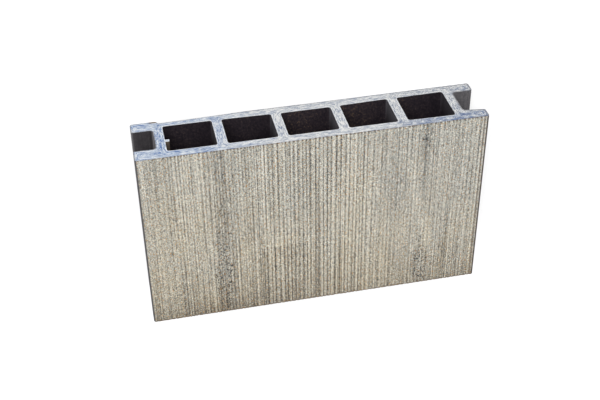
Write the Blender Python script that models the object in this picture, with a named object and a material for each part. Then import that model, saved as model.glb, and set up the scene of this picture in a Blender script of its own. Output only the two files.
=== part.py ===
"""A sawn offcut of a hollow composite deck board, lying on its back with its walking face up.

The board is one extrusion: two skins joined by webs, with a clip groove along each long edge.
X runs across its width, Y along the extrusion and Z through its thickness. The origin is on
the floor, under the middle of the board. All sizes are in metres.
"""

import math

import bmesh
import bpy
from mathutils import Matrix, Vector

# Overall size
BOARD_WIDTH = 0.150
BOARD_THICKNESS = 0.0276
BOARD_LENGTH = 0.088

# Skins, webs and the chambers between them. The inner floors rise towards the middle chamber. The
# last chamber's floor is tilted, and the face skin over it gets thinner towards the edge.
FACE_SKIN = 0.0045
LAST_SKIN_LOSS = 0.0004
WEB_THICKNESS = 0.0041
CHAMBER_COUNT = 5
INNER_CHAMBER_EXTRA_WIDTH = 0.00035
MIDDLE_CHAMBER_EXTRA_WIDTH = 0.0009
OUTER_FLOOR_HEIGHT = 0.0042
INNER_FLOOR_HEIGHT = 0.0043
INNER_FLOOR_RISE = 0.0006
MIDDLE_FLOOR_HEIGHT = 0.0051
LAST_FLOOR_TILT = 0.0004
CHAMBER_RADIUS = 0.0012

# Clip grooves and their lips
GROOVE_DEPTH = 0.0095
GROOVE_RADIUS = 0.0014
LEFT_BACK_LIP_THICKNESS = 0.0065
RIGHT_BACK_LIP_THICKNESS = 0.0060
BACK_LIP_SETBACK = 0.0004
FACE_LIP_ROOT_THICKNESS = 0.0070
LEFT_LIP_TIP_THICKNESS = 0.0072
RIGHT_LIP_TIP_THICKNESS = 0.0057
LIP_RADIUS = 0.0009
FACE_ARRIS_RADIUS = 0.0010
BACK_ARRIS_RADIUS = 0.0010

# The back is slightly hollow between two flat margins that it rests on. The hollow starts sharply
# at the left margin and runs out slowly towards the right one.
MARGIN_WIDTH = 0.0115
HOLLOW_DEPTH = 0.0005
LEFT_HOLLOW_RAMP = 0.0040
RIGHT_HOLLOW_RAMP = 0.0600

# A fin that the die left along the first web, inside the leftmost chamber
FIN_HEIGHT = 0.0153
FIN_THICKNESS = 0.0013
FIN_REACH = 0.0018
FIN_RADIUS = 0.0003

# The saw tore a shallow flake off the back at the +Y end, from just inside the left margin. Its
# ceiling goes through shares of its width and depth, steep beside the margin and fading away from it.
TEAR_WIDTH = 0.0440
TEAR_DEPTH = 0.00175
TEAR_LENGTH = 0.0080
TEAR_BITE = 0.0004
TEAR_CEILING = ((1.0, 0.0), (0.80, 0.38), (0.50, 0.58), (0.30, 0.78), (0.03, 1.0))

ARC_STEPS = 5
ARC_SHARE_OF_SIDE = 0.45
CUTTER_OVERRUN = 0.0020
WELD_DISTANCE = 0.000001

FACE_COLOUR = (0.34, 0.32, 0.26, 1.0)
FACE_ROUGHNESS = 0.8


def clear_scene():
    for thing in list(bpy.data.objects):
        bpy.data.objects.remove(thing, do_unlink=True)


def new_collection(name):
    collection = bpy.data.collections.new(name)
    bpy.context.scene.collection.children.link(collection)
    return collection


def composite_material():
    """Weathered wood and plastic composite: pale, warm grey and dull."""
    material = bpy.data.materials.new("weathered_composite")
    material.use_nodes = True
    shader = material.node_tree.nodes["Principled BSDF"]
    shader.inputs["Base Color"].default_value = FACE_COLOUR
    shader.inputs["Roughness"].default_value = FACE_ROUGHNESS
    shader.inputs["Metallic"].default_value = 0.0
    return material


def rounded(corners):
    """The closed outline through (x, z, radius) corners, with each corner turned into an arc.

    A radius is limited so that its arc leaves the two sides that meet there some straight length.
    """
    points = []
    for index, (x, z, radius) in enumerate(corners):
        corner = Vector((x, z))
        before = Vector(corners[index - 1][:2]) - corner
        after = Vector(corners[(index + 1) % len(corners)][:2]) - corner
        half_angle = before.angle(after) / 2
        room = ARC_SHARE_OF_SIDE * min(before.length, after.length)
        setback = min(radius / math.tan(half_angle), room)
        if setback <= WELD_DISTANCE:
            points.append(corner)
            continue
        to_centre = (before.normalized() + after.normalized()).normalized()
        centre = corner + to_centre * (setback / math.cos(half_angle))
        start = corner + before.normalized() * setback - centre
        turn = start.angle_signed(corner + after.normalized() * setback - centre)
        for step in range(ARC_STEPS + 1):
            points.append(centre + Matrix.Rotation(-turn * step / ARC_STEPS, 2) @ start)
    return points


def extruded(name, outline, length, collection):
    """A mesh object: an outline in the XZ plane, extruded along Y and centred on its origin."""
    curve = bpy.data.curves.new(name + "_outline", "CURVE")
    curve.dimensions = "2D"
    curve.fill_mode = "BOTH"
    curve.extrude = length / 2
    spline = curve.splines.new("POLY")
    spline.points.add(len(outline) - 1)
    for spline_point, (x, z) in zip(spline.points, outline):
        spline_point.co = (x, z, 0, 1)
    spline.use_cyclic_u = True
    guide = bpy.data.objects.new(name + "_outline", curve)
    guide.rotation_euler = (math.radians(90), 0, 0)
    bpy.context.scene.collection.objects.link(guide)
    bpy.context.view_layer.update()

    evaluated = guide.evaluated_get(bpy.context.evaluated_depsgraph_get())
    mesh = bpy.data.meshes.new_from_object(evaluated)
    mesh.name = name
    mesh.transform(guide.matrix_world)
    bpy.data.objects.remove(guide, do_unlink=True)
    bpy.data.curves.remove(curve)

    shape = bmesh.new()
    shape.from_mesh(mesh)
    bmesh.ops.remove_doubles(shape, verts=shape.verts, dist=WELD_DISTANCE)
    bmesh.ops.recalc_face_normals(shape, faces=shape.faces)
    shape.to_mesh(mesh)
    shape.free()
    solid = bpy.data.objects.new(name, mesh)
    collection.objects.link(solid)
    return solid


def edge_corners(side, back_lip_thickness, lip_tip_thickness, hollow_ramp):
    """Corners of one long edge from its back margin up to the face; side is 1 right, -1 left."""
    face_tip = BOARD_WIDTH / 2
    back_tip = face_tip - BACK_LIP_SETBACK
    web_face = face_tip - GROOVE_DEPTH
    margin_end = face_tip - MARGIN_WIDTH
    corners = [
        (margin_end - hollow_ramp, HOLLOW_DEPTH, 0),
        (margin_end, 0, 0),
        (back_tip, 0, BACK_ARRIS_RADIUS),
        (back_tip, back_lip_thickness, LIP_RADIUS),
        (web_face, back_lip_thickness, GROOVE_RADIUS),
        (web_face, BOARD_THICKNESS - FACE_LIP_ROOT_THICKNESS, GROOVE_RADIUS),
        (face_tip, BOARD_THICKNESS - lip_tip_thickness, LIP_RADIUS),
        (face_tip, BOARD_THICKNESS, FACE_ARRIS_RADIUS),
    ]
    return [(side * x, z, radius) for x, z, radius in corners]


def board_outline():
    right = edge_corners(1, RIGHT_BACK_LIP_THICKNESS, RIGHT_LIP_TIP_THICKNESS, RIGHT_HOLLOW_RAMP)
    left = edge_corners(-1, LEFT_BACK_LIP_THICKNESS, LEFT_LIP_TIP_THICKNESS, LEFT_HOLLOW_RAMP)
    return rounded(right + left[::-1])


def chamber_sizes():
    """(width, floor at its left, floor at its right) of each chamber, from left to right."""
    middle = CHAMBER_COUNT // 2
    last = CHAMBER_COUNT - 1
    sizes = []
    for index in range(CHAMBER_COUNT):
        if index == 0:
            sizes.append((0, OUTER_FLOOR_HEIGHT, OUTER_FLOOR_HEIGHT))
        elif index == last:
            half_tilt = LAST_FLOOR_TILT / 2
            sizes.append((0, OUTER_FLOOR_HEIGHT + half_tilt, OUTER_FLOOR_HEIGHT - half_tilt))
        elif index == middle:
            sizes.append((MIDDLE_CHAMBER_EXTRA_WIDTH, MIDDLE_FLOOR_HEIGHT, MIDDLE_FLOOR_HEIGHT))
        else:
            outer_side, inner_side = INNER_FLOOR_HEIGHT, INNER_FLOOR_HEIGHT + INNER_FLOOR_RISE
            floors = (outer_side, inner_side) if index < middle else (inner_side, outer_side)
            sizes.append((INNER_CHAMBER_EXTRA_WIDTH, *floors))
    webs = WEB_THICKNESS * (CHAMBER_COUNT + 1)
    extras = sum(extra for extra, *_ in sizes)
    shared = BOARD_WIDTH - 2 * GROOVE_DEPTH - webs - extras
    return [(shared / CHAMBER_COUNT + extra, *floors) for extra, *floors in sizes]


def fin_corners(web_face):
    """The fin's corners on the web's right side, from its top to its underside."""
    top = FIN_HEIGHT + FIN_THICKNESS / 2
    underside = FIN_HEIGHT - FIN_THICKNESS / 2
    tip = web_face + FIN_REACH
    return [
        (web_face, top, FIN_RADIUS),
        (tip, top, FIN_RADIUS),
        (tip, underside, FIN_RADIUS),
        (web_face, underside, FIN_RADIUS),
    ]


def new_cutter(name, outline, length, collection):
    cutter = extruded(name, outline, length, collection)
    cutter.hide_render = True
    cutter.display_type = "WIRE"
    return cutter


def chamber_cutters(collection):
    """One cutter for each chamber, longer than the board. The first leaves the fin standing."""
    cutters = []
    left = -BOARD_WIDTH / 2 + GROOVE_DEPTH + WEB_THICKNESS
    ceiling = BOARD_THICKNESS - FACE_SKIN
    length = BOARD_LENGTH + 2 * CUTTER_OVERRUN
    for index, (width, left_floor, right_floor) in enumerate(chamber_sizes()):
        is_last = index == CHAMBER_COUNT - 1
        corners = [
            (left, left_floor, CHAMBER_RADIUS),
            (left + width, right_floor, CHAMBER_RADIUS),
            (left + width, ceiling + (LAST_SKIN_LOSS if is_last else 0), CHAMBER_RADIUS),
            (left, ceiling, CHAMBER_RADIUS),
        ]
        if index == 0:
            corners += fin_corners(left)
        cutters.append(new_cutter(f"chamber_{index + 1}_cutter", rounded(corners), length, collection))
        left += width + WEB_THICKNESS
    return cutters


def tear_cutter(collection):
    """A wedge, deepest at the +Y end, that leaves the back where the flake tore off."""
    start = -BOARD_WIDTH / 2 + MARGIN_WIDTH - TEAR_BITE
    below = -TEAR_DEPTH - CUTTER_OVERRUN
    outline = [(start, below), (start + TEAR_WIDTH, below)]
    outline += [(start + across * TEAR_WIDTH, deep * TEAR_DEPTH) for across, deep in TEAR_CEILING]
    cutter = new_cutter("tear_cutter", outline, 2 * (TEAR_LENGTH + CUTTER_OVERRUN), collection)
    cutter.location = (0, BOARD_LENGTH / 2, 0)
    cutter.rotation_euler = (math.atan2(TEAR_DEPTH, TEAR_LENGTH), 0, 0)
    return cutter


def deck_board(parts, cutters):
    board = extruded("deck_board", board_outline(), BOARD_LENGTH, parts)
    board.data.materials.append(composite_material())
    for cutter in chamber_cutters(cutters) + [tear_cutter(cutters)]:
        cut = board.modifiers.new(cutter.name, "BOOLEAN")
        cut.operation = "DIFFERENCE"
        cut.solver = "EXACT"
        cut.object = cutter
    return board


clear_scene()
deck_board(new_collection("composite_deck_board"), new_collection("cutters"))
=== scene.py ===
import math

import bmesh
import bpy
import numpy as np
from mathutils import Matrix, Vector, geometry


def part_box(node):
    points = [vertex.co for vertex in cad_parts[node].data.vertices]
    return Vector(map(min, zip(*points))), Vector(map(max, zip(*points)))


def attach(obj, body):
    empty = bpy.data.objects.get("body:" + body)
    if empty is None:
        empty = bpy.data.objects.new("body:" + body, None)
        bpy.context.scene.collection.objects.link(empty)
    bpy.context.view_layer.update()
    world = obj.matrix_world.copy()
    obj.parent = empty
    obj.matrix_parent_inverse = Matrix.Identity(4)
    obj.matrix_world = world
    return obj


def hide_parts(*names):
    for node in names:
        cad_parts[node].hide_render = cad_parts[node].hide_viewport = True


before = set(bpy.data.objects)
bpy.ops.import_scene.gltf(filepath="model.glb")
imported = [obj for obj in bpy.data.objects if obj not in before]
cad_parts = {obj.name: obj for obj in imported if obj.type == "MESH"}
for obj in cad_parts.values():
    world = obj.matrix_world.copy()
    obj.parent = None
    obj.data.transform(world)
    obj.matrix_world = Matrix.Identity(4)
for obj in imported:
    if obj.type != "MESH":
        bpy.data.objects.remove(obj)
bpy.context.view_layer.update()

# %% [markdown]
# # A sawn offcut of a hollow deck board
#
# The real board is one extrusion of wood flour and plastic. The die gives it two skins, six webs,
# five chambers and a clip groove along each long edge. Brushing and weather give its walking face
# fine ridges and a pale, mottled colour. The saw leaves both ends pale, with a torn rim here and there.
#
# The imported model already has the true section, so this file only gives it a surface. The offcut is
# one piece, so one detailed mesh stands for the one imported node.

cad_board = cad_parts["deck_board"]
lowest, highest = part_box("deck_board")
MM = 0.001
LENGTH = highest.y - lowest.y
THICKNESS = highest.z - lowest.z
HALF_WIDTH = highest.x
print("board", [round(side / MM, 1) for side in highest - lowest], "mm")

# %% [markdown]
# ## Reading the section
#
# The section is the outline that the die gave the board, and it is the same all the way along apart
# from a flake torn off one end. It could be drawn again from its sizes, but then two drawings would
# have to agree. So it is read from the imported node, at the end without the flake: its rim is made of
# the edges where the flat end meets a wall.

# %% Find the rim loops of the plain end
JOIN_DISTANCE = 0.002 * MM
END_PLANE = 0.01 * MM
FLAT_END = 0.9


def rim_loops(mesh_data, end_y):
    """Closed loops of (x, z) where the flat end at end_y meets the walls."""
    shape = bmesh.new()
    shape.from_mesh(mesh_data)
    bmesh.ops.remove_doubles(shape, verts=shape.verts, dist=JOIN_DISTANCE)
    neighbours = {}
    for edge in shape.edges:
        on_end = all(abs(vert.co.y - end_y) < END_PLANE for vert in edge.verts)
        flat = [abs(face.normal.y) > FLAT_END for face in edge.link_faces]
        if on_end and any(flat) and not all(flat):
            first, second = edge.verts
            neighbours.setdefault(first, []).append(second)
            neighbours.setdefault(second, []).append(first)
    loops = []
    while neighbours:
        here = next(iter(neighbours))
        loop = []
        while here in neighbours:
            loop.append(Vector((here.co.x, here.co.z)))
            following = [vert for vert in neighbours.pop(here) if vert in neighbours]
            here = following[0] if following else None
        loops.append(loop)
    shape.free()
    return sorted(loops, key=len, reverse=True)


loops = rim_loops(cad_board.data, lowest.y)
print("rim loops", [len(loop) for loop in loops])

# %% [markdown]
# ## A fine section
#
# Relief needs points to move. The walking face gets one about every quarter of a millimetre, because
# its ridges are about 1.8 mm apart. The back gets fewer and the hidden walls fewest, which keeps the board
# under the limit on triangles. The flat end is then filled with small triangles, so that the saw's
# marks can be shaped too.

# %% Divide the rims
FACE_STEP = 0.27 * MM
BACK_STEP = 0.9 * MM
WALL_STEP = 2.4 * MM
BACK_HEIGHT = 0.8 * MM
FACE_DROP = 0.02 * MM


def step_for(start, end):
    """How far apart the points of a side may lie: it depends on where the side is."""
    if min(start.y, end.y) > THICKNESS - FACE_DROP:
        return FACE_STEP
    if max(start.y, end.y) < BACK_HEIGHT:
        return BACK_STEP
    return WALL_STEP


def divided(loop):
    """The loop with points added so that no side is longer than its step."""
    points = []
    for index, start in enumerate(loop):
        end = loop[(index + 1) % len(loop)]
        pieces = math.ceil((end - start).length / step_for(start, end))
        points += [start.lerp(end, piece / pieces) for piece in range(pieces)]
    return points


fine_loops = [divided(loop) for loop in loops]
print("rim points", [len(loop) for loop in fine_loops])

# %% Fill the end between the rims
FILL_STEP = 0.62 * MM
FILL_JITTER = 0.25
RIM_CLEARANCE = 0.36 * MM
FILL_SEED = 4
FILL_MERGE = JOIN_DISTANCE / 10


def sides(all_loops):
    """Start and end points of every side of every loop, as two arrays."""
    starts = np.array([point for loop in all_loops for point in loop])
    ends = np.array([point for loop in all_loops for point in loop[1:] + loop[:1]])
    return starts, ends


def inside(points, all_loops):
    """True for each point that lies in the solid part of the section."""
    starts, ends = sides(all_loops)
    x, z = points[:, :1], points[:, 1:]
    spans = (starts[:, 1] > z) != (ends[:, 1] > z)
    rise = np.where(ends[:, 1] == starts[:, 1], 1.0, ends[:, 1] - starts[:, 1])
    crossing = starts[:, 0] + (z - starts[:, 1]) * (ends[:, 0] - starts[:, 0]) / rise
    return (spans & (x < crossing)).sum(axis=1) % 2 == 1


def rim_distance(points, all_loops):
    """How far each point is from the nearest rim."""
    starts, ends = sides(all_loops)
    along = ends - starts
    offset = points[:, None] - starts
    share = (offset * along).sum(axis=2) / (along * along).sum(axis=1)
    nearest = offset - np.clip(share, 0, 1)[..., None] * along
    return np.sqrt((nearest ** 2).sum(axis=2)).min(axis=1)


def fill_points():
    """A jittered grid of points inside the material, clear of the rims."""
    random = np.random.default_rng(FILL_SEED)
    across = np.arange(-HALF_WIDTH, HALF_WIDTH, FILL_STEP)
    up = np.arange(0, THICKNESS, FILL_STEP)
    grid = np.stack(np.meshgrid(across, up), axis=-1).reshape(-1, 2)
    grid += random.uniform(-FILL_JITTER, FILL_JITTER, grid.shape) * FILL_STEP
    grid = grid[inside(grid, loops)]
    return grid[rim_distance(grid, loops) > RIM_CLEARANCE]


def section_mesh(name):
    """The flat end as a mesh in the plane y = 0, facing -Y."""
    rim = [point for loop in fine_loops for point in loop]
    edges = []
    for loop in fine_loops:
        first = len(edges)
        edges += [(first + index, first + (index + 1) % len(loop)) for index in range(len(loop))]
    points = rim + [Vector(point) for point in fill_points()]
    cells = geometry.delaunay_2d_cdt(points, edges, [], 0, FILL_MERGE)
    flat_points, triangles = cells[0], cells[2]
    centres = np.array([sum((flat_points[i] for i in cell), Vector((0, 0))) / 3 for cell in triangles])
    solid = inside(centres, fine_loops)
    data = bpy.data.meshes.new(name)
    kept = [cell for cell, keep in zip(triangles, solid) if keep]
    data.from_pydata([(point.x, 0, point.y) for point in flat_points], [], kept)
    shape = bmesh.new()
    shape.from_mesh(data)
    loose = [vert for vert in shape.verts if not vert.link_faces]
    bmesh.ops.delete(shape, geom=loose, context="VERTS")
    for face in shape.faces:
        if face.normal.y > 0:
            face.normal_flip()
    shape.to_mesh(data)
    shape.free()
    return data


def new_object(name, data):
    """An object that shows some data, put into the scene."""
    thing = bpy.data.objects.new(name, data)
    bpy.context.scene.collection.objects.link(thing)
    return thing


board = new_object("weathered_deck_board", section_mesh("weathered_deck_board"))
print("end triangles", len(board.data.polygons))

# %% [markdown]
# ## Helpers for node trees
#
# Shader trees and Geometry Nodes trees are both made of nodes and links, and many nodes work in both.
# A few short helpers keep the recipes below readable: each adds a node, sets its inputs and gives
# back its output. Most of them find their tree from the values they are given.

# %% Node helpers
def put(socket, value):
    """Link an output to an input, or give the input a plain value."""
    if isinstance(value, bpy.types.NodeSocket):
        socket.id_data.links.new(value, socket)
    else:
        socket.default_value = value


def add(tree, kind, inputs=(), **settings):
    """A new node. Its inputs are given by name or by number."""
    node = tree.nodes.new(kind)
    for name, value in settings.items():
        setattr(node, name, value)
    for name, value in dict(inputs).items():
        put(node.inputs[name], value)
    return node


def step(kind, inputs, output=0, **settings):
    """One output of a new node in the tree that its inputs come from."""
    inputs = dict(inputs)
    sockets = [value for value in inputs.values() if isinstance(value, bpy.types.NodeSocket)]
    return add(sockets[0].id_data, kind, inputs, **settings).outputs[output]


def calc(operation, *values, clamp=False):
    """One step of arithmetic on numbers."""
    return step("ShaderNodeMath", enumerate(values), operation=operation, use_clamp=clamp)


def vector_calc(operation, *values):
    """One step of arithmetic on vectors."""
    return step("ShaderNodeVectorMath", enumerate(values), operation=operation)


def joined_by(operation, values):
    """Several values joined by one operation, one after another."""
    result = values[0]
    for value in values[1:]:
        result = calc(operation, result, value)
    return result


def total(*values):
    return joined_by("ADD", values)


def product(*values):
    return joined_by("MULTIPLY", values)


def largest(*values):
    return joined_by("MAXIMUM", values)


def minus(first, second):
    return calc("SUBTRACT", first, second)


def ramp(value, start, end, low=0.0, high=1.0, shape="SMOOTHSTEP"):
    """low before start, high after end, and a soft step between them."""
    inputs = {"Value": value, "From Min": start, "From Max": end, "To Min": low, "To Max": high}
    return step("ShaderNodeMapRange", inputs, interpolation_type=shape)


def slope(value, start, end, low, high):
    """low before start, high after end, and a straight slope between them."""
    return ramp(value, start, end, low, high, "LINEAR")


def fade(value, start, end, high=1.0):
    """high before start, 0 after end, and a soft step between them."""
    return ramp(value, start, end, high, 0.0)


def band(value, start, end, rise, fall):
    """1 from start to end, with a soft rise before it and a soft fall after it."""
    return product(ramp(value, start - rise, start), fade(value, end, end + fall))


def noise(place, size, seed=0.0, detail=2.0, roughness=0.5):
    """A cloudy value from 0 to 1. size is the size of its patches along x, y and z.

    The seed only moves the pattern. Noise is weakest on its whole-number planes, so a pattern that
    has to be strong on a flat face has a seed with a fraction.
    """
    scaled = vector_calc("DIVIDE", place, size)
    moved = vector_calc("ADD", scaled, (seed, 2 * seed, 3 * seed))
    inputs = {"Vector": moved, "Scale": 1.0, "Detail": detail, "Roughness": roughness}
    return step("ShaderNodeTexNoise", inputs)


# Most of a noise lies between these two values.
MOST = 0.3, 0.7


def about_zero(value, amount=1.0):
    """A value from 0 to 1, moved to swing about 0 and made amount times as strong."""
    return product(minus(value, 0.5), amount)


def chance(number):
    """A value from 0 to 1 that each number draws for itself."""
    return step("ShaderNodeTexWhiteNoise", {"W": number}, noise_dimensions="1D")


def axes(place):
    """The x, y and z of a place."""
    return add(place.id_data, "ShaderNodeSeparateXYZ", {0: place}).outputs


def vector(x=0.0, y=0.0, z=0.0):
    return step("ShaderNodeCombineXYZ", {"X": x, "Y": y, "Z": z})


def new_tree(name, sizes):
    """A Geometry Nodes tree with one mesh and some sizes as its named inputs."""
    tree = bpy.data.node_groups.new(name, "GeometryNodeTree")
    tree.interface.new_socket("Mesh", in_out="INPUT", socket_type="NodeSocketGeometry")
    for size, value in sizes.items():
        kind = "NodeSocketInt" if isinstance(value, int) else "NodeSocketFloat"
        tree.interface.new_socket(size, in_out="INPUT", socket_type=kind)
    tree.interface.new_socket("Mesh", in_out="OUTPUT", socket_type="NodeSocketGeometry")
    return tree, add(tree, "NodeGroupInput").outputs


def field(tree, name):
    """What the mesh knows of each of its points, such as the Position or the Normal."""
    return add(tree, "GeometryNodeInput" + name).outputs[0]


def store(mesh, name, value, domain="POINT", kind="FLOAT"):
    """Keep a value on the mesh under a name, for later trees and for the materials."""
    inputs = {"Geometry": mesh, "Name": name, "Value": value}
    return step("GeometryNodeStoreNamedAttribute", inputs, domain=domain, data_type=kind)


def stored(tree, name, kind="FLOAT"):
    return add(tree, "GeometryNodeInputNamedAttribute", {"Name": name}, data_type=kind).outputs[0]


def move(mesh, offset):
    return step("GeometryNodeSetPosition", {"Geometry": mesh, "Offset": offset})


def end_tree(mesh, material, selection=None):
    """Finish a tree: make instances real, and give the chosen faces their material."""
    real = step("GeometryNodeRealizeInstances", {0: mesh})
    inputs = {"Geometry": real, "Material": material}
    if selection is not None:
        inputs["Selection"] = selection
    add(mesh.id_data, "NodeGroupOutput", {0: step("GeometryNodeSetMaterial", inputs)})


def run_tree(thing, tree, sizes):
    """Run a tree on an object and keep its result as a plain mesh."""
    modifier = thing.modifiers.new(tree.name, "NODES")
    modifier.node_group = tree
    for item in tree.interface.items_tree:
        if item.in_out == "INPUT" and item.name in sizes:
            modifier[item.identifier] = sizes[item.name]
    bpy.context.view_layer.update()
    evaluated = thing.evaluated_get(bpy.context.evaluated_depsgraph_get())
    made = bpy.data.meshes.new_from_object(evaluated)
    thing.modifiers.remove(modifier)
    thing.data = made
    print(tree.name, len(made.polygons), "faces")


# %% [markdown]
# ## Three finishes of one material
#
# The board is one material all through, but it shows three finishes. The skin that the die left is
# charcoal and smooth. Sun and rain have turned the walking face pale. The saw has left the ends
# almost white. The materials are made empty here, so that the trees below can hand them out, and
# they are filled in later.

# %% Name the materials
def new_material(name):
    material = bpy.data.materials.new(name)
    material.use_nodes = True
    return material


die_skin = new_material("composite_die_skin")
weathered_face = new_material("composite_weathered_face")
sawn_end = new_material("composite_sawn_end")

# %% [markdown]
# ## Extruding the board
#
# A die pushes the board out at a steady speed, and a Repeat Zone does the same: each turn draws the
# open rim out by one row. The last row meets a copy of the end, turned to face the other way. The
# rows then crowd towards the ends, where saw marks and chips need the points. Two distances are kept
# on the mesh: from any rim, and from the rim of a chamber. The end's material needs both. "side" marks
# the walls that face -X, which the die skin paints paler as painted light.

# %% Build the extrusion tree
SWEEP = {"Length": LENGTH, "Rows": 76, "Crowding": 0.80}
CHAMBER_LOW, CHAMBER_HIGH = 3.5 * MM, 24 * MM
CHAMBERS_END = HALF_WIDTH - 13 * MM
# A wall counts as facing -X more and more as its normal's x goes from the first to the second.
SIDE_FROM, SIDE_TO = -0.5, -0.9
FULL_TURN = 2 * math.pi


def rims_only(section, keep):
    """The rim edges of the section, without its faces."""
    drop = step("FunctionNodeBooleanMath", {0: keep}, operation="NOT")
    inputs = {"Geometry": section, "Selection": drop}
    return step("GeometryNodeDeleteGeometry", inputs, domain="EDGE", mode="EDGE_FACE")


def distance_to(target, place):
    inputs = {"Geometry": target, "Sample Position": place}
    return step("GeometryNodeProximity", inputs, "Distance", target_element="EDGES")


def extrusion_tree(material):
    tree, given = new_tree("extrude_board", SWEEP)
    faces_beside = field(tree, "MeshEdgeNeighbors")
    is_rim = step("FunctionNodeCompare", {2: faces_beside, 3: 1}, data_type="INT", operation="EQUAL")
    section = store(given["Mesh"], "front", is_rim, "EDGE", "BOOLEAN")
    front = stored(tree, "front", "BOOLEAN")

    first = add(tree, "GeometryNodeRepeatInput")
    last = add(tree, "GeometryNodeRepeatOutput")
    first.pair_with_output(last)
    put(first.inputs["Iterations"], given["Rows"])
    put(first.inputs["Geometry"], section)
    row = vector(y=calc("DIVIDE", given["Length"], given["Rows"]))
    grown = add(tree, "GeometryNodeExtrudeMesh", {
        "Mesh": first.outputs["Geometry"],
        "Selection": front,
        "Offset": row,
        "Offset Scale": 1,
    }, mode="EDGES")
    marked = store(grown.outputs["Mesh"], "front", grown.outputs["Top"], "EDGE", "BOOLEAN")
    put(last.inputs["Geometry"], marked)

    inputs = {"Geometry": given["Mesh"], "Translation": vector(y=given["Length"])}
    far_end = step("GeometryNodeFlipFaces", {0: step("GeometryNodeTransform", inputs)})
    both = add(tree, "GeometryNodeJoinGeometry")
    put(both.inputs[0], last.outputs["Geometry"])
    put(both.inputs[0], far_end)
    inputs = {"Geometry": both.outputs[0], "Distance": JOIN_DISTANCE}
    joined = step("GeometryNodeMergeByDistance", inputs)

    x, y, z = axes(field(tree, "Position"))
    in_section = vector(x, 0, z)
    any_rim = rims_only(section, front)
    above = calc("GREATER_THAN", z, CHAMBER_LOW)
    below = calc("LESS_THAN", z, CHAMBER_HIGH)
    within = calc("LESS_THAN", calc("ABSOLUTE", x), CHAMBERS_END)
    chamber_rim = rims_only(section, product(above, below, within, front))
    kept = store(joined, "rim", distance_to(any_rim, in_section))
    kept = store(kept, "bore", distance_to(chamber_rim, in_section))
    facing = axes(field(tree, "Normal"))
    is_sawn = calc("GREATER_THAN", calc("ABSOLUTE", facing[1]), FLAT_END)
    kept = store(kept, "sawn", is_sawn, "FACE", "BOOLEAN")
    kept = store(kept, "side", ramp(facing[0], SIDE_FROM, SIDE_TO))

    share = calc("DIVIDE", y, given["Length"])
    swing = calc("SINE", product(share, FULL_TURN))
    pull = product(swing, given["Crowding"], given["Length"], -1 / FULL_TURN)
    centred = total(pull, product(given["Length"], -0.5))
    placed = move(kept, vector(y=centred))
    end_tree(placed, material)
    return tree


run_tree(board, extrusion_tree(die_skin), SWEEP)

# %% [markdown]
# ## Ridges on the walking face
#
# Brushing the face digs grooves of uneven depth along the board, between ridges that keep the board's
# full thickness. A row of equal waves would look like a roller's print. So the pitch drifts, each
# groove lies a little off its place and has a depth of its own, and a few, picked by a seeded chance,
# stand out. A finer set of scratches lies among the broad grooves, and where the two meet, the deeper
# one counts, because their sum would make broad bands. The broad set is deepest in the middle third,
# the fine one on the left, and the left margin is calm. How deep a point went is kept as "valley", so
# that the colour can follow the shape.

# %% Build the ridge tree
RIDGES = {"Pitch": 1.80 * MM, "Depth": 0.42 * MM, "Scratch Pitch": 1.38 * MM, "Seed": 3.0}
ARRIS = 0.9 * MM
DEEP_FROM, DEEP_TO, DEEP_FADE = -20 * MM, 20 * MM, 12 * MM
SHALLOW_LEFT, SHALLOW_RIGHT = 0.14, 0.62
SCRATCH_LEFT, SCRATCH_REST = 0.95, 0.34
# Right of the middle the broad set is shallower, and along the right edge it is at least this deep.
EDGE_FROM, EDGE_TO, EDGE_SHARE = 58 * MM, 64 * MM, 0.4
# The margin along the left edge is brushed less.
MARGIN_FROM, MARGIN_TO, MARGIN_SHARE = -66 * MM, -58 * MM, 0.5
# How long a groove keeps its depth, and the least share of it that it fades to.
BROAD_LENGTH, BROAD_WEAKEST = 40 * MM, 0.65
FINE_LENGTH, FINE_WEAKEST, FINE_SEED = 22 * MM, 0.5, 31.7
# Noises, here and below: the size of their patches along x, y and z, a seed, and at times the detail
# and the roughness.
DRIFT = (9 * MM, 2, 1), 5, 0
PITS = (0.8 * MM, 1.4 * MM, 1), 2
PIT_FROM, PIT_TO, PIT_DEPTH = 0.35, 0.7, 0.1
PITCH_DRIFT = 1.7
# No groove lies quite in its place: it may be off by this share of the pitch.
GROOVE_WANDER = 0.13
GROOVE_SHARPNESS = 4.2
# Across the grooves their noise changes within this many grooves, so each groove fades for itself.
GROOVE_SPREAD = 0.37
USUAL_LEAST = 0.75
# About one groove in eight stands out: its chance is over this share.
STANDOUT_FROM, STANDOUT_DEPTH = 0.88, 0.16
# The face's pale finish ends where its arris turns down by about 37 degrees.
FACE_LEVEL = 0.8


def comb(x, y, pitch, seed, strength, length, weakest):
    """Grooves along y: 0 on a ridge, and in each groove a depth from its own chance."""
    drift = product(noise(vector(x, y), *DRIFT), PITCH_DRIFT)
    count = total(calc("DIVIDE", x, pitch), drift, seed)
    groove = calc("FLOOR", count)
    second_draw = chance(total(groove, 0.5))
    shift = slope(second_draw, 0, 1, -GROOVE_WANDER, GROOVE_WANDER)
    across = product(total(calc("FRACT", count), shift), FULL_TURN)
    hollow = calc("MULTIPLY_ADD", calc("COSINE", across), -0.5, 0.5)
    sharp = calc("POWER", hollow, GROOVE_SHARPNESS)
    draw = chance(groove)
    usual = product(slope(draw, 0, 1, USUAL_LEAST, 1), strength)
    standing_out = ramp(draw, STANDOUT_FROM, 1, 0, STANDOUT_DEPTH)
    along = noise(vector(groove, y), (GROOVE_SPREAD, length, 1), 8)
    lasting = ramp(along, *MOST, weakest, 1)
    return product(sharp, total(usual, standing_out), lasting)


def deep_band(x):
    """1 in the middle third of the face, where the brush went deepest, and 0 beside it."""
    return band(x, DEEP_FROM, DEEP_TO, DEEP_FADE, DEEP_FADE)


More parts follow.
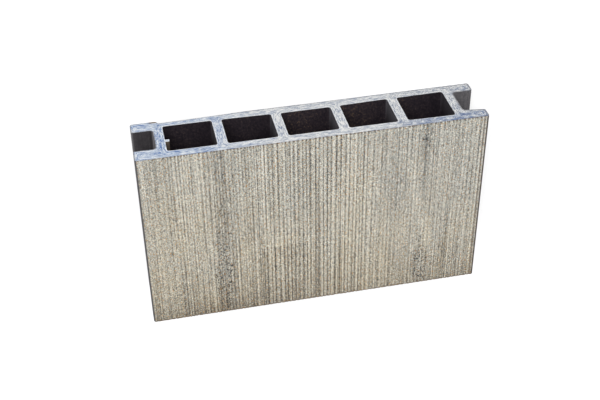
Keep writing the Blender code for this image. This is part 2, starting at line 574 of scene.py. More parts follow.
def ridge_tree(material):
    tree, given = new_tree("brush_face", RIDGES)
    place = field(tree, "Position")
    x, y, z = axes(place)
    deep = largest(deep_band(x), ramp(x, EDGE_FROM, EDGE_TO, 0, EDGE_SHARE))
    shallow = ramp(x, DEEP_FROM - DEEP_FADE, DEEP_FROM, SHALLOW_LEFT, SHALLOW_RIGHT)
    strength = slope(deep, 0, 1, shallow, 1)
    broad = comb(x, y, given["Pitch"], given["Seed"], strength, BROAD_LENGTH, BROAD_WEAKEST)
    fine_seed = total(given["Seed"], FINE_SEED)
    fine = comb(x, y, given["Scratch Pitch"], fine_seed, 1, FINE_LENGTH, FINE_WEAKEST)
    fine_share = ramp(x, DEEP_FROM - DEEP_FADE, DEEP_FROM, SCRATCH_LEFT, SCRATCH_REST)
    margin = ramp(x, MARGIN_FROM, MARGIN_TO, MARGIN_SHARE, 1)
    brushed = product(largest(broad, product(fine, fine_share)), margin)
    pits = ramp(noise(place, *PITS), PIT_FROM, PIT_TO)
    depth = calc("MULTIPLY_ADD", pits, PIT_DEPTH, brushed)
    near_face = ramp(z, THICKNESS - ARRIS, THICKNESS - ARRIS / 5)
    facing_up = axes(field(tree, "Normal"))[2]
    shown = product(depth, near_face)
    kept = store(given["Mesh"], "valley", shown)
    kept = store(kept, "face", product(near_face, facing_up), "FACE")
    sunk = move(kept, vector(z=product(shown, given["Depth"], -1)))
    on_face = calc("GREATER_THAN", stored(tree, "face"), FACE_LEVEL)
    end_tree(sunk, material, on_face)
    return tree


run_tree(board, ridge_tree(weathered_face), RIDGES)

# %% [markdown]
# ## The saw's work
#
# A saw tears as it cuts. It leaves faint marks over the end, a ragged burr round each chamber, small
# chips along the face's arris, and here it pulled a long flake off the back. All of it bends the same
# mesh: each effect is a push that fades away from the end, so nothing folds over. The pushes only go
# inwards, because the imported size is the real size.

# %% Build the saw tree
SAW = {"Mark Depth": 0.10 * MM, "Burr": 0.13 * MM, "Chip": 0.55 * MM, "Seed": 6.0}
BURR_REACH = 0.2 * MM
CHIP_REACH = 1.3 * MM
# A chip goes in from the cut by this share of what it goes down from the face.
CHIP_INWARD = 0.6
FAR_CHIP_SHARE = 0.25
BURR_NOISE = (1.1 * MM, 1, 1.1 * MM), 1, 3
BURR_FROM, BURR_TO = 0.35, 0.75
CHIP_NOISE = (1.7 * MM, 1, 1), 4, 4, 0.65
CHIP_FROM, CHIP_TO = 0.42, 0.75
MARK_NOISE = (0.8 * MM, 1, 0.8 * MM), 7, 3
TATTERS = (3 * MM, 3 * MM, 1), 9, 3
FLAKE_START, FLAKE_WIDTH = -63.9 * MM, 44 * MM
FLAKE_STEP = 1.3 * MM
FLAKE_DEPTH, FLAKE_LENGTH = 1.75 * MM, 8 * MM
# The shares of its length between which the flake's ragged inner edge lies.
FLAKE_SHORT, FLAKE_LONG = 0.7, 1.1
FLAKE_FADE = 0.62
TORN_FROM, TORN_TO = 0.05 * MM, 0.5 * MM
BACK_SKIN = 4 * MM
HOLLOW_START, HOLLOW_RAMP, HOLLOW_DEPTH = -63.5 * MM, 4 * MM, 0.5 * MM


def flake_height(x, y, z, ragged):
    """How far the torn flake raises the back: most beside the margin and at the end.

    The back is already hollow there, so only what the flake has above the hollow is added.
    """
    share = calc("DIVIDE", minus(x, FLAKE_START), FLAKE_WIDTH)
    fading = calc("POWER", calc("SUBTRACT", 1, share, clamp=True), FLAKE_FADE)
    starts = ramp(x, FLAKE_START, FLAKE_START + FLAKE_STEP)
    inward = minus(LENGTH / 2, y)
    reach = product(ramp(ragged, *MOST, FLAKE_SHORT, FLAKE_LONG), FLAKE_LENGTH)
    lasting = slope(calc("DIVIDE", inward, reach), 0, 1, 1, 0)
    torn = product(fading, starts, lasting, FLAKE_DEPTH)
    hollow = slope(x, HOLLOW_START, HOLLOW_START + HOLLOW_RAMP, 0, HOLLOW_DEPTH)
    raised = largest(minus(torn, hollow), 0)
    return product(raised, slope(z, hollow, BACK_SKIN, 1, 0))


def saw_tree(material):
    tree, given = new_tree("saw_ends", SAW)
    place = field(tree, "Position")
    x, y, z = axes(place)
    inward = minus(LENGTH / 2, calc("ABSOLUTE", y))
    side = calc("SIGN", y)
    seeded = vector_calc("ADD", place, vector(z=given["Seed"]))

    normal = axes(field(tree, "Normal"))
    outwards = vector_calc("NORMALIZE", vector(normal[0], 0, normal[2]))
    at_chamber = calc("LESS_THAN", stored(tree, "bore"), END_PLANE)
    ragged = ramp(noise(seeded, *BURR_NOISE), BURR_FROM, BURR_TO)
    burr = product(at_chamber, ragged, fade(inward, 0, BURR_REACH), given["Burr"])
    pushed = step("ShaderNodeVectorMath", {0: outwards, "Scale": burr}, operation="SCALE")

    bites = noise(seeded, *CHIP_NOISE)
    end_share = slope(y, -MM, MM, FAR_CHIP_SHARE, 1)
    bitten = product(ramp(bites, CHIP_FROM, CHIP_TO), end_share)
    below_face = minus(THICKNESS, z)
    reaches = [fade(away, 0, CHIP_REACH) for away in (inward, below_face)]
    damage = product(bitten, *reaches)
    chip = product(damage, given["Chip"])
    chip_move = vector(0, product(chip, side, -CHIP_INWARD), product(chip, -1))

    at_end = calc("LESS_THAN", inward, END_PLANE)
    marks = product(noise(seeded, *MARK_NOISE), at_end, side, given["Mark Depth"], -1)
    flake = flake_height(x, y, z, noise(seeded, *TATTERS))

    kept = store(given["Mesh"], "damage", damage)
    kept = store(kept, "torn", ramp(flake, TORN_FROM, TORN_TO))
    offset = pushed
    for push in (chip_move, vector(y=marks), vector(z=flake)):
        offset = vector_calc("ADD", offset, push)
    worked = move(kept, offset)
    at_burr = product(at_chamber, calc("LESS_THAN", inward, BURR_REACH))
    cut = largest(stored(tree, "sawn", "BOOLEAN"), at_burr)
    end_tree(worked, material, calc("GREATER_THAN", cut, 0.5))
    return tree


run_tree(board, saw_tree(sawn_end), SAW)

# %% Smooth the walls and keep the arrises crisp
CRISP_ANGLE = math.radians(38)
board.data.shade_smooth()
board.data.set_sharp_from_angle(angle=CRISP_ANGLE)
check = bmesh.new()
check.from_mesh(board.data)
open_edges = sum(1 for edge in check.edges if not edge.is_manifold)
print("triangles", sum(len(face.verts) - 2 for face in check.faces), "open edges", open_edges)
print("volume", round(check.calc_volume(signed=True) / MM ** 3), "cubic mm")
check.free()

# %% [markdown]
# ## Shared surface effects
#
# Two effects show in more than one finish. Mottle is the wood flour that shows as light and dark
# grains. Die lines are the faint streaks that run along an extrusion. Each is a node group with named
# inputs, so that a material only gives its own sizes.

# %% Mottle and die lines
# A grain is this much longer along the board than across it.
GRAIN_LENGTH = 1.25


def colour(red, green, blue):
    """A colour as a picture editor shows it, 0 to 255, turned into the linear values of a shader."""
    def linear(channel):
        share = channel / 255
        return share / 12.92 if share <= 0.04045 else ((share + 0.055) / 1.055) ** 2.4
    return (linear(red), linear(green), linear(blue), 1)


def effect_group(name, inputs):
    """A shader node group with Place and some numbers as inputs, and one Value as output."""
    group = bpy.data.node_groups.new(name, "ShaderNodeTree")
    group.interface.new_socket("Place", in_out="INPUT", socket_type="NodeSocketVector")
    for label in inputs:
        group.interface.new_socket(label, in_out="INPUT", socket_type="NodeSocketFloat")
    group.interface.new_socket("Value", in_out="OUTPUT", socket_type="NodeSocketFloat")
    return group, add(group, "NodeGroupInput").outputs


def mottle_group():
    group, given = effect_group("wood_flour_mottle", ["Grain Size", "Contrast"])
    across = given["Grain Size"]
    size = vector(across, product(across, GRAIN_LENGTH), across)
    grains = noise(given["Place"], size, 3.17, 3, 0.62)
    add(group, "NodeGroupOutput", {"Value": about_zero(grains, given["Contrast"])})
    return group


def die_line_group():
    group, given = effect_group("die_lines", ["Line Width", "Line Length", "Contrast"])
    size = vector(given["Line Width"], given["Line Length"], given["Line Width"])
    lines = noise(given["Place"], size, 6, 3, 0.6)
    add(group, "NodeGroupOutput", {"Value": about_zero(lines, given["Contrast"])})
    return group


mottle = mottle_group()
die_lines = die_line_group()


def effect(group, place, **numbers):
    """An effect placed in a material, with its own numbers."""
    node = add(place.id_data, "ShaderNodeGroup", node_tree=group)
    put(node.inputs["Place"], place)
    for label, value in numbers.items():
        put(node.inputs[label.replace("_", " ")], value)
    return node.outputs["Value"]


def tones(value, *stops):
    """Turn a value into a colour. Each stop is a value, then its red, green and blue."""
    result = step("ShaderNodeValToRGB", {0: value})
    elements = result.node.color_ramp.elements
    while len(elements) < len(stops):
        elements.new(0.5)
    for element, (position, *tone) in zip(elements, stops):
        element.position = position
        element.color = colour(*tone)
    return result


def blend(share, first, second):
    """A mix of two colours: the first where share is 0, the second where it is 1."""
    return step("ShaderNodeMix", {0: share, 6: first, 7: second}, 2, data_type="RGBA")


def painted(base, *coats):
    """A colour with coats laid over it. Each coat is how much it covers, then its red, green and blue."""
    for cover, *tone in coats:
        base = blend(cover, base, colour(*tone))
    return base


def attribute(tree, name):
    return add(tree, "ShaderNodeAttribute", attribute_name=name).outputs["Fac"]


def surface_place(tree):
    """Where a point lies on the board, as one place and as its x, y and z."""
    place = add(tree, "ShaderNodeTexCoord").outputs["Object"]
    return place, *axes(place)


def finish_material(tree, base, roughness, height, bump_distance):
    """Give the material its colour and roughness, and a bump for what is too fine for the mesh."""
    shader = tree.nodes["Principled BSDF"]
    put(shader.inputs["Base Color"], base)
    put(shader.inputs["Roughness"], roughness)
    shader.inputs["Specular IOR Level"].default_value = 0.3
    inputs = {"Strength": 1, "Distance": bump_distance, "Height": height}
    put(shader.inputs["Normal"], add(tree, "ShaderNodeBump", inputs).outputs[0])


# %% [markdown]
# ## The weathered walking face
#
# The pale face is not one grey. Ridges are cream where feet and weather rub them, grooves keep dirt
# and are painted darker as painted shade, and grains of wood flour speckle everything. Broader stains
# lie over that: dark mottled streaks, a worn patch, pale patches and a pale line along the right edge.
# Five thin scratches are a list of their own, because blots would break them up. Each stain is an oval
# at a real place with a torn edge. A dark line along the left arris is painted shade. Grain, dirt with
# painted shade, and stains add up to one tone, and a cool and a warm colour ramp turn the tone into a
# colour.

# %% Stains as soft ovals
# Each stain: x and y of its middle, width and length in mm, how far it leans, and how much it
# darkens. A pale one has a minus there.
STAINS = {
    "left_streak": (-40.5, 8, 11, 100, 0, 0.09),
    "left_streak_foot": (-42, -28, 9, 56, 0, 0.11),
    "right_streak": (35.5, 14, 10, 56, 0, 0.08),
    "right_head": (47.5, 36, 7, 18, 0, 0.10),
    "right_foot": (48.5, -34, 10, 28, 0, 0.12),
    "right_drip": (47.5, -22, 2.4, 24, 0, 0.10),
    "worn_patch": (-10, -30, 36, 42, 0, 0.07),
    "middle_head": (-8, 18, 24, 60, 0, 0.07),
    "pale_scuff": (46, 4, 6, 66, -0.26, -0.12),
    "scuff_spot": (44.5, 3, 6, 9, 0, -0.06),
    "pale_left": (-58, 18, 26, 66, 0, -0.07),
    "pale_middle": (18, 4, 18, 74, 0, -0.05),
    "pale_foot": (28, -36, 18, 26, 0, -0.11),
    "pale_right_edge": (72, 0, 1.4, 130, 0, -0.16),
}
SCRATCHES = {
    "right_scratch": (48, 18, 1, 60, -0.01, 0.38),
    "right_low_scratch": (59.7, -22, 1, 54, 0, 0.62),
    "middle_scratch": (0.7, -8, 1, 100, 0, 0.66),
    "left_scratch": (-63.6, -14, 0.8, 64, 0, 0.28),
    "left_high_scratch": (-60.9, 17, 0.8, 26, 0, 0.40),
}
STAIN_TEAR, SCRATCH_TEAR = 1.6, 0.7
TORN_EDGES = (2.2 * MM, 5 * MM, 1), 11, 4, 0.65
# A stain is full up to the first share of its half width and gone at the second.
STAIN_CORE, STAIN_RIM = 0.35, 1.35


def stain_tone(place, stains, tear):
    """How much some stains darken a point of the face. tear is how ragged their edges are."""
    x, y = axes(place)[:2]
    ragged = about_zero(noise(place, *TORN_EDGES))
    parts = []
    for middle_x, middle_y, width, length, lean, darkness in stains.values():
        down = minus(y, middle_y * MM)
        spine = calc("MULTIPLY_ADD", down, lean, middle_x * MM)
        across = calc("DIVIDE", minus(x, spine), width / 2 * MM)
        along = calc("DIVIDE", down, length / 2 * MM)
        squares = total(product(across, across), product(along, along))
        edge = calc("MULTIPLY_ADD", ragged, tear, calc("SQRT", squares))
        parts.append(fade(edge, STAIN_CORE, STAIN_RIM, darkness))
    return total(*parts)


# %% How light the face is
NEAR_CUT, FAR_CUT = LENGTH / 2, -LENGTH / 2
FACE_TONE = 0.747
BEADS = (0.45 * MM, 0.60 * MM, 1), 21.17
BEAD_LEAST, BEAD_MOST = 0.35, 1.65
# Grooves are darkened for the dirt they hold and as painted shade.
GROOVE_DIRT_AND_SHADE, STAIN_SHADE, CROWN_SHADE = -0.52, -0.5, 0.07
# Ridges in the middle are rubbed pale where the valley is less deep than this.
CROWN_FROM, CROWN_TO = 0.1, 0.6
# Round blots of dirt sit where the stains are dark enough.
DOTS = (0.72 * MM, 0.85 * MM, 1), 25.17, 1
DOT_FROM, DOT_TO = 0.585, 0.65
BLOT_FROM, BLOT_TO, BLOT_SHADE = 0.065, 0.12, -1.25
CAKED_FROM, CAKED_TO, CAKED_FADE, CAKED_EXTRA = -25 * MM, -3 * MM, 3 * MM, 0.8
CAKED_TOP, CAKED_EDGE = -10 * MM, 0.8 * MM
CAKED_FULL, CAKED_FOOT, CAKED_LEAST = -16 * MM, -30 * MM, 0.2
# The face darkens towards the far cut: how far it reaches, and how much. Left of the middle it darkens
# more.
FAR_DARK_REACH, FAR_DARK_SHADE = 34 * MM, -0.14
FOOT_REACH, FOOT_SHADE = 7 * MM, -0.06
LEFT_FAR_DARK_REACH, LEFT_FAR_DARK_SHADE = 14 * MM, -0.10
LEFT_FAR_DARK_FROM, LEFT_FAR_DARK_TO = -30 * MM, 0
MARGIN_SHADE = -0.04


def caked_dirt(x, y):
    """1 in the worn patch, where the grooves hold more dirt from a sharp line downwards."""
    columns = band(x, CAKED_FROM, CAKED_TO, CAKED_FADE, CAKED_FADE)
    top = fade(y, CAKED_TOP - CAKED_EDGE, CAKED_TOP)
    fading = ramp(y, CAKED_FOOT, CAKED_FULL, CAKED_LEAST, 1)
    return product(columns, top, fading)


def far_cut_darkening(x, y):
    """How much the face darkens towards the far cut."""
    left = fade(y, FAR_CUT, FAR_CUT + LEFT_FAR_DARK_REACH, LEFT_FAR_DARK_SHADE)
    return total(
        fade(y, FAR_CUT, FAR_CUT + FAR_DARK_REACH, FAR_DARK_SHADE),
        product(left, fade(x, LEFT_FAR_DARK_FROM, LEFT_FAR_DARK_TO)),
        fade(y, FAR_CUT, FAR_CUT + FOOT_REACH, FOOT_SHADE),
    )


def face_shade(place, x, y, valley, stains):
    """How light the face is, apart from its grain."""
    beads = ramp(noise(place, *BEADS), *MOST, BEAD_LEAST, BEAD_MOST)
    caked = calc("MULTIPLY_ADD", caked_dirt(x, y), CAKED_EXTRA, 1)
    crowns = product(deep_band(x), fade(valley, CROWN_FROM, CROWN_TO))
    dots = ramp(noise(place, *DOTS), DOT_FROM, DOT_TO)
    blots = product(dots, ramp(stains, BLOT_FROM, BLOT_TO))
    scratches = stain_tone(place, SCRATCHES, SCRATCH_TEAR)
    return total(
        product(valley, beads, caked, GROOVE_DIRT_AND_SHADE),
        product(total(stains, scratches), STAIN_SHADE),
        product(blots, BLOT_SHADE),
        product(crowns, CROWN_SHADE),
        ramp(x, MARGIN_FROM, MARGIN_TO, MARGIN_SHADE, 0),
        far_cut_darkening(x, y),
        FACE_TONE,
    )


# %% How warm the face is, and its edges
FINE_TINT, FINE_TINT_SHARE = ((0.5 * MM, 0.7 * MM, 1), 29), 5
BROAD_TINT, BROAD_TINT_SHARE = ((7 * MM, 30 * MM, 1), 33), 1.2
# 0 is the cool scale of greys and 1 the warm one. The face is cooler near the sawn end and at the
# right, and in the stains.
NEAR_TINT, FAR_TINT = -0.42, 0.48
STAIN_TINT, RIGHT_TINT, LEFT_TINT, FACE_TINT = -1.2, -0.55, 0.08, 0.31
LEFT_TINT_END = -30 * MM
RIGHT_COOL = 10 * MM, 70 * MM
NEAR_COOL = -20 * MM, 40 * MM, 0.5, 1
SPECKS = (0.6 * MM, 0.7 * MM, 1), 17, 1
RUSTY = 0.635, 0.665, 0, 0.9
NOTCHES = (1.1 * MM, 1, 1), 37
SEAM_REACH, SEAM_COVER = 1 * MM, 0.9
NOTCH_FROM, NOTCH_TO = 0.6, 0.9
FOOT_LINE_FROM, FOOT_LINE_TO, FOOT_LINE_COVER = 0.3 * MM, 0.9 * MM, 0.85
DASH_FROM, DASH_TO = 0.34, 0.46
RIGHT_LINE, RIGHT_LINE_COVER = 73 * MM, 0.55
RIGHT_LINE_WIDTH = 0.15 * MM, 0.55 * MM
CHIP_BROWN = 0.15, 0.7, 0, 0.8
# A dark line is painted along the left arris as painted shade, and a brown line along the right arris.
LEFT_ARRIS, RIGHT_ARRIS = -74.2 * MM, 73.8 * MM
ARRIS_FADE, LEFT_COVER, RIGHT_COVER = 0.35 * MM, 0.9, 0.95


def face_tint(place, x, y, stains):
    """How warm the grey of the face is."""
    near = ramp(y, *NEAR_COOL)
    return total(
        about_zero(noise(place, *FINE_TINT), FINE_TINT_SHARE),
        about_zero(noise(place, *BROAD_TINT), BROAD_TINT_SHARE),
        slope(y, NEAR_CUT, FAR_CUT, NEAR_TINT, FAR_TINT),
        product(stains, STAIN_TINT),
        product(ramp(x, *RIGHT_COOL), near, RIGHT_TINT),
        fade(x, -HALF_WIDTH, LEFT_TINT_END, LEFT_TINT),
        FACE_TINT,
    )


def brown_edges(place, x, y, valley, damage):
    """Where the face's rim is brown: notches at the sawn end, dashes at the far cut, a line, chips."""
    edge_noise = noise(place, *NOTCHES)
    at_seam = ramp(y, NEAR_CUT - SEAM_REACH, NEAR_CUT - SEAM_REACH / 4)
    notched = ramp(total(valley, edge_noise), NOTCH_FROM, NOTCH_TO)
    at_foot = fade(y, FAR_CUT + FOOT_LINE_FROM, FAR_CUT + FOOT_LINE_TO)
    dashed = ramp(edge_noise, DASH_FROM, DASH_TO)
    from_line = calc("ABSOLUTE", minus(x, RIGHT_LINE))
    return largest(
        product(at_seam, notched, SEAM_COVER),
        product(at_foot, dashed, FOOT_LINE_COVER),
        ramp(damage, *CHIP_BROWN),
        product(fade(from_line, *RIGHT_LINE_WIDTH), RIGHT_LINE_COVER),
    )


# %% Fill in the weathered face
# Pale places are a little smoother than dark ones.
FACE_ROUGH, FACE_BUMP = (0.2, 1, 0.95, 0.78), 0.16 * MM
# Each tone: how light the face is there, then its red, green and blue.
COOL_TONES = [
    (0, 70, 72, 74), (0.3, 122, 123, 120), (0.55, 163, 163, 156), (0.8, 205, 203, 193), (1, 244, 241, 231),
]
WARM_TONES = [
    (0, 80, 71, 60), (0.3, 134, 124, 107), (0.55, 174, 165, 145), (0.8, 216, 206, 182), (1, 250, 242, 219),
]


def fill_weathered_face(material):
    tree = material.node_tree
    place, x, y, _ = surface_place(tree)
    on_face = vector(x, y)
    valley = attribute(tree, "valley")
    stains = stain_tone(place, STAINS, STAIN_TEAR)
    grain = total(
        effect(mottle, on_face, Grain_Size=0.26 * MM, Contrast=2.6),
        effect(mottle, on_face, Grain_Size=0.50 * MM, Contrast=1.15),
        effect(mottle, on_face, Grain_Size=5 * MM, Contrast=0.12),
        effect(die_lines, on_face, Line_Width=0.45 * MM, Line_Length=90 * MM, Contrast=1.1),
    )
    shade = total(grain, face_shade(place, x, y, valley, stains))
    cool = tones(shade, *COOL_TONES)
    warm = tones(shade, *WARM_TONES)
    tint = slope(face_tint(place, x, y, stains), 0, 1, 0, 1)
    finished = painted(
        blend(tint, cool, warm),
        (ramp(noise(place, *SPECKS), *RUSTY), 198, 148, 82),
        (brown_edges(place, x, y, valley, attribute(tree, "damage")), 98, 78, 58),
        (ramp(x, LEFT_ARRIS, LEFT_ARRIS - ARRIS_FADE, 0, LEFT_COVER), 86, 84, 82),
        (ramp(x, RIGHT_ARRIS, RIGHT_ARRIS + ARRIS_FADE, 0, RIGHT_COVER), 68, 56, 46),
    )
    finish_material(tree, finished, ramp(shade, *FACE_ROUGH), grain, FACE_BUMP)


fill_weathered_face(weathered_face)

# %% [markdown]
# ## The sawn ends
#
# Plastic flows along the die's walls, so a cut shows flow lines that run beside every wall and curl
# round the corners. Distance from the nearest rim is the same along such a line. A noise that
# changes fast with that distance and slowly along the section therefore draws the lines by itself.
# The cut is bluest at its left end, and under the face at the right it is dull: bluer, and darker as
# painted shade. The saw smears a paler burr round each chamber, the outer rim is painted grey as painted
# shade along the edge, and chips and a torn sliver at the back show brown.

# %% Fill in the sawn ends
CUT_TONE = 0.71
SWIRL, SWIRL_REACH = ((5 * MM, 1, 5 * MM), 4, 1), 2 * MM
FLOW = (2.8 * MM, 2.8 * MM, 0.36 * MM), 2, 3, 0.6
FLOW_LEFT, FLOW_RIGHT = 3.7, 4.6
CLOUDS, CLOUD_SHARE, CLOUD_REACH = ((7 * MM, 1, 3 * MM), 12), 0.6, 60 * MM
FACE_SKIN_FROM, FACE_SKIN_TO = THICKNESS - 6 * MM, THICKNESS - 4 * MM
# Under the face at the right the cut is painted darker, as painted shade, and bluer.
DULL_FROM, DULL_TO = 28 * MM, 50 * MM
DULL_BELOW, DULL_IN_SKIN, DULL_BLUE = -0.02, 0.30, 1.5
LEFT_FROM, LEFT_TO, LEFT_SHADE = -28 * MM, -50 * MM, -0.09
BRUISE_MIDDLE, BRUISE_REACH, BRUISE_SHADE = -46 * MM, 9 * MM, -0.16
TIP_FROM, TIP_TO, TIP_SHADE = 67 * MM, 73 * MM, -0.18
BLUE_FROM, BLUE_TO, BLUE_LEAST = -10 * MM, -60 * MM, 0.15
PATCHES, PATCHY = ((0.9 * MM, 1, 0.9 * MM), 15), (0.35, 0.6, 0.4, 1)
BURR_WIDTH = 0.15 * MM, 0.45 * MM, 0.95
# The grey along the outer rim is painted shade along the edge.
OUTER_FROM, OUTER_COVER = 0.2 * MM, 0.9
# The grey along the outer rim reaches in further at the right end.
OUTER_REACH = 58 * MM, 68 * MM, 0.6 * MM, 1 * MM
CLEAR_OF_CHAMBER = 0.6 * MM, 1.2 * MM
GRIT, GRIT_FROM, GRIT_TO = ((0.45 * MM, 1, 0.45 * MM), 27, 1), 0.57, 0.65
GRIT_LEFT, GRIT_RIGHT = 0.2, 0.9
SLIVER = -65.8 * MM, -62.9 * MM, 1.6 * MM, 0.3 * MM
SLIVER_LOW, SLIVER_HIGH = 1.1 * MM, 1.9 * MM
CHIP_DULL = 0.3, 0.9, 0, 0.55
CUT_ROUGH, CUT_BUMP = 0.85, 0.08 * MM
BLUE_TONES = (0, 86, 116, 172), (0.35, 146, 167, 203), (0.65, 192, 204, 219), (1, 236, 241, 246)
GREY_TONES = (0, 118, 128, 150), (0.35, 170, 176, 188), (0.65, 204, 207, 210), (1, 240, 239, 236)


def cut_shade(x, flow, clouds, at_face, dull):
    """How light the sawn end is, apart from its fibres."""
    from_bruise = calc("ABSOLUTE", minus(x, BRUISE_MIDDLE))
    below_skin = ramp(at_face, 0, 1, 1, 0)
    return total(
        about_zero(flow, ramp(x, DULL_FROM, DULL_TO, FLOW_LEFT, FLOW_RIGHT)),
        about_zero(clouds, CLOUD_SHARE),
        product(dull, -1),
        product(ramp(x, TIP_FROM, TIP_TO, 0, TIP_SHADE), below_skin),
        ramp(x, LEFT_FROM, LEFT_TO, 0, LEFT_SHADE),
        product(fade(from_bruise, 0, BRUISE_REACH, BRUISE_SHADE), at_face),
        CUT_TONE,
    )


def fill_sawn_end(material):
    tree = material.node_tree
    place, x, _, z = surface_place(tree)
    rim = attribute(tree, "rim")
    bore = attribute(tree, "bore")
    swirl = noise(place, *SWIRL)
    flow_place = vector(x, z, calc("MULTIPLY_ADD", swirl, SWIRL_REACH, rim))
    clouds = noise(place, *CLOUDS)
    at_face = ramp(z, FACE_SKIN_FROM, FACE_SKIN_TO)
    dull_height = ramp(at_face, 0, 1, DULL_BELOW, DULL_IN_SKIN)
    dull = product(ramp(x, DULL_FROM, DULL_TO), dull_height)
    fibres = effect(mottle, place, Grain_Size=0.3 * MM, Contrast=1.2)
    shade = total(fibres, cut_shade(x, noise(flow_place, *FLOW), clouds, at_face, dull))
    blue = tones(shade, *BLUE_TONES)
    grey = tones(shade, *GREY_TONES)
    drifted = total(about_zero(clouds, CLOUD_REACH), x)
    bluish = ramp(drifted, BLUE_TO, BLUE_FROM, 1, BLUE_LEAST)
    bluish = largest(bluish, product(dull, DULL_BLUE))
    patchy = ramp(noise(place, *PATCHES), *PATCHY)
    outer = fade(rim, OUTER_FROM, ramp(x, *OUTER_REACH), OUTER_COVER)
    grit = ramp(noise(place, *GRIT), GRIT_FROM, GRIT_TO)
    wavy_height = calc("MULTIPLY_ADD", swirl, MM, z)
    sliver = product(band(x, *SLIVER), fade(wavy_height, SLIVER_LOW, SLIVER_HIGH))
    chipped = ramp(attribute(tree, "damage"), *CHIP_DULL)
    finished = painted(
        blend(bluish, grey, blue),
        (product(fade(bore, *BURR_WIDTH), patchy), 240, 243, 247),
        (product(outer, ramp(bore, *CLEAR_OF_CHAMBER), patchy), 124, 124, 130),
        (product(grit, ramp(x, DULL_FROM, DULL_TO, GRIT_LEFT, GRIT_RIGHT)), 96, 98, 110),
        (largest(sliver, chipped), 122, 110, 95),
    )
    finish_material(tree, finished, CUT_ROUGH, shade, CUT_BUMP)


fill_sawn_end(sawn_end)

# %% [markdown]
# ## The die's skin
#
# Grooves, chambers and the back never see the sun, so they keep the charcoal of new composite. The
# chambers are painted darker still, as painted shade. Fine die lines run along the grooves and the
# back, and brown grains of wood flour show in the chambers. The walls that face -X are painted paler
# as painted light, in the left groove and just inside each chamber near the cut. Where the flake came
# off the back, the pale inside of the board lies bare.

# %% The skin outside the chambers
# The right lip and groove are paler, partly faded and partly painted light; walls that face -X share that
# pale tone as painted light.
FADED_FROM, FADED_TO = 60 * MM, 67 * MM
# The left groove: its floor is a ledge with painted shade in the corner and paler at the lip, under a wall
# painted pale as painted light.
LEDGE_HEIGHT = 9 * MM
CORNER, CORNER_COVER = (-66.4 * MM, -65 * MM, 1.2 * MM, 1 * MM), 0.7
WALL_FOOT_TOP, WALL_FOOT_COVER = 12 * MM, 0.6
LIP_TIP = -74.3 * MM, -73.6 * MM, 0.8
CLEAR_OF_BORE = 1 * MM, 2 * MM


def outside_skin(shade, x, z, bore, side):
    """The colour of the grooves, the side walls and the back."""
    new = tones(shade, (0, 36, 34, 36), (0.5, 53, 50, 53), (1, 76, 73, 74))
    faded = tones(shade, (0, 60, 58, 60), (0.5, 90, 88, 91), (1, 118, 115, 116))
    faded_and_lit = largest(ramp(x, FADED_FROM, FADED_TO), side)
    below = ramp(z, LEDGE_HEIGHT, LEDGE_HEIGHT - MM)
    on_ledge = product(below, minus(1, side))
    wall_foot = fade(z, LEDGE_HEIGHT, WALL_FOOT_TOP, WALL_FOOT_COVER)
    return painted(
        blend(faded_and_lit, new, faded),
        (product(band(x, *CORNER), CORNER_COVER, on_ledge), 24, 22, 25),
        (product(side, wall_foot, ramp(bore, *CLEAR_OF_BORE)), 126, 124, 128),
        (product(fade(x, *LIP_TIP), on_ledge), 98, 97, 98),
    )


# %% The skin inside the chambers
CHAMBER_PITCH = 25.75 * MM
# Painted shade: each chamber is darker towards its right wall, and the outer chambers are darker than the
# middle ones.
TO_RIGHT_WALL = 0.45, 0.9, 0, -0.22
LIT_MIDDLE = 15 * MM
FROM_MIDDLE = 22 * MM, 36 * MM, 0.04, -0.14
CLUSTER_SHARE = 0.6
# Painted light on the walls that face -X near the cut: how deep it reaches, and how its cover changes
# across the board.
LIT_WALL_REACH, LIT_WALL_COVER = 14 * MM, 0.95
LIT_WALL_LEFT = -60 * MM, 20 * MM, 0.65, 1
LIT_WALL_RIGHT = 40 * MM, 58 * MM, 1, 0.35


def chamber_skin(place, x, y, side, grains, clusters):
    """The colour of the chambers' walls: darker than the skin outside as painted shade, with painted light
    near the cut on the walls that face -X.
    """
    share = calc("DIVIDE", total(x, CHAMBER_PITCH / 2), CHAMBER_PITCH)
    from_middle = calc("ABSOLUTE", minus(x, LIT_MIDDLE))
    shade = total(
        grains,
        product(clusters, CLUSTER_SHARE),
        effect(mottle, place, Grain_Size=0.8 * MM, Contrast=2.2),
        ramp(from_middle, *FROM_MIDDLE),
        ramp(calc("FRACT", share), *TO_RIGHT_WALL),
        0.5,
    )
    bare = tones(shade, (0, 22, 16, 24), (0.5, 40, 33, 39), (0.8, 60, 50, 50), (1, 92, 74, 60))
    inward = minus(LENGTH / 2, calc("ABSOLUTE", y))
    near_end = fade(inward, 0, LIT_WALL_REACH, LIT_WALL_COVER)
    lit_wall = product(side, near_end, ramp(x, *LIT_WALL_LEFT), ramp(x, *LIT_WALL_RIGHT))
    return painted(bare, (lit_wall, 92, 90, 95))


# %% Fill in the die's skin
IN_CHAMBER = 0.05 * MM, 0.3 * MM
# The fin's top is painted brown-grey: partly painted light that it catches, partly its rough torn edge.
FIN_TOP, FIN_HALF = 15.95 * MM, (0.1 * MM, 0.3 * MM)
FIN_TIP_X, FIN_COVER = -59.5 * MM, 0.8
FLAKE_COVER = 0.85
SKIN_ROUGH, SKIN_BUMP = (0, 1, 0.55, 0.75), 0.06 * MM


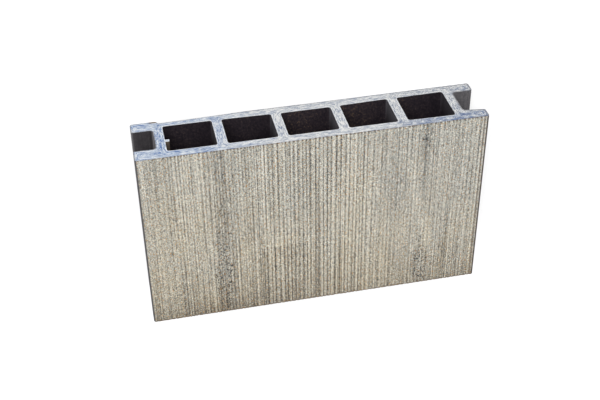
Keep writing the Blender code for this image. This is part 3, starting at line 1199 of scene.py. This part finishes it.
def fill_die_skin(material):
    tree = material.node_tree
    place, x, y, z = surface_place(tree)
    bore = attribute(tree, "bore")
    side = attribute(tree, "side")
    grains = effect(mottle, place, Grain_Size=0.55 * MM, Contrast=1.1)
    clusters = effect(mottle, place, Grain_Size=2.4 * MM, Contrast=0.7)
    lines = effect(die_lines, place, Line_Width=0.8 * MM, Line_Length=60 * MM, Contrast=0.6)
    shade = total(grains, clusters, lines, 0.5)
    outside = outside_skin(shade, x, z, bore, side)
    chambers = chamber_skin(place, x, y, side, grains, clusters)
    in_chamber = fade(bore, *IN_CHAMBER)
    from_fin = calc("ABSOLUTE", minus(z, FIN_TOP))
    beside_fin = product(calc("LESS_THAN", x, FIN_TIP_X), fade(from_fin, *FIN_HALF))
    skin = painted(
        blend(in_chamber, outside, chambers),
        (product(in_chamber, beside_fin, FIN_COVER), 110, 98, 84),
    )
    flesh = tones(shade, (0, 112, 104, 94), (0.5, 160, 155, 148), (1, 196, 194, 190))
    finished = blend(product(attribute(tree, "torn"), FLAKE_COVER), skin, flesh)
    finish_material(tree, finished, ramp(shade, *SKIN_ROUGH), shade, SKIN_BUMP)


fill_die_skin(die_skin)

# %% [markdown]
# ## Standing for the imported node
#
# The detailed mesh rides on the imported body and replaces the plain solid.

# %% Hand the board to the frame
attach(board, "root")
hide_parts("deck_board")

# %% [markdown]
# ## Floor, light and camera
#
# A white floor and an even white sky light the board at about the level at which a colour shows as
# it is written. One large soft lamp beyond the sawn end adds direction. The floor is a little
# brighter to the camera only, so it stays white and keeps the board's shadow.

# %% Lay the floor
FLOOR_HALF = 3.0
FLOOR_GLOW = 0.62


def white_floor():
    shape = bmesh.new()
    bmesh.ops.create_grid(shape, x_segments=1, y_segments=1, size=FLOOR_HALF)
    data = bpy.data.meshes.new("studio_floor")
    shape.to_mesh(data)
    shape.free()
    material = new_material("studio_white")
    tree = material.node_tree
    inputs = tree.nodes["Principled BSDF"].inputs
    put(inputs["Base Color"], (0.5, 0.5, 0.5, 1.0))
    put(inputs["Roughness"], 0.9)
    put(inputs["Specular IOR Level"], 0.0)
    put(inputs["Emission Color"], (1.0, 1.0, 1.0, 1.0))
    seen = add(tree, "ShaderNodeLightPath").outputs["Is Camera Ray"]
    put(inputs["Emission Strength"], product(seen, FLOOR_GLOW))
    data.materials.append(material)
    return new_object("studio_floor", data)


white_floor()

# %% Light the board
SKY_STRENGTH = 0.62
LAMP_PLACE = Vector((-0.55, 1.20, 1.40))
LAMP_SIZE = 1.1
LAMP_POWER = 25.0


def white_sky():
    world = bpy.data.worlds.new("studio_sky")
    bpy.context.scene.world = world
    world.use_nodes = True
    tree = world.node_tree
    background = tree.nodes["Background"]
    put(background.inputs["Color"], (1.0, 1.0, 1.0, 1.0))
    path = add(tree, "ShaderNodeLightPath").outputs
    seen = largest(path["Is Camera Ray"], path["Is Glossy Ray"], path["Is Transmission Ray"])
    put(background.inputs["Strength"], slope(seen, 0.0, 1.0, SKY_STRENGTH, 1.0))


def soft_lamp():
    data = bpy.data.lights.new("soft_lamp", "AREA")
    data.shape = "SQUARE"
    data.size = LAMP_SIZE
    data.energy = LAMP_POWER
    lamp = new_object("soft_lamp", data)
    lamp.location = LAMP_PLACE
    lamp.rotation_euler = (-LAMP_PLACE).to_track_quat("-Z", "Y").to_euler()


white_sky()
soft_lamp()

# %% Stand the camera where the photographer stood
CAMERA_PLACE = (-0.08326, 0.29593, 0.39558)
CAMERA_TURN = (-36.8144, -12.1100, -0.6455)
CAMERA_LENS = 65.977

camera_data = bpy.data.cameras.new("photographer")
camera_data.lens = CAMERA_LENS
camera = new_object("photographer", camera_data)
camera.location = CAMERA_PLACE
camera.rotation_euler = [math.radians(angle) for angle in CAMERA_TURN]
bpy.context.scene.camera = camera
bpy.context.scene.view_settings.view_transform = "Standard"
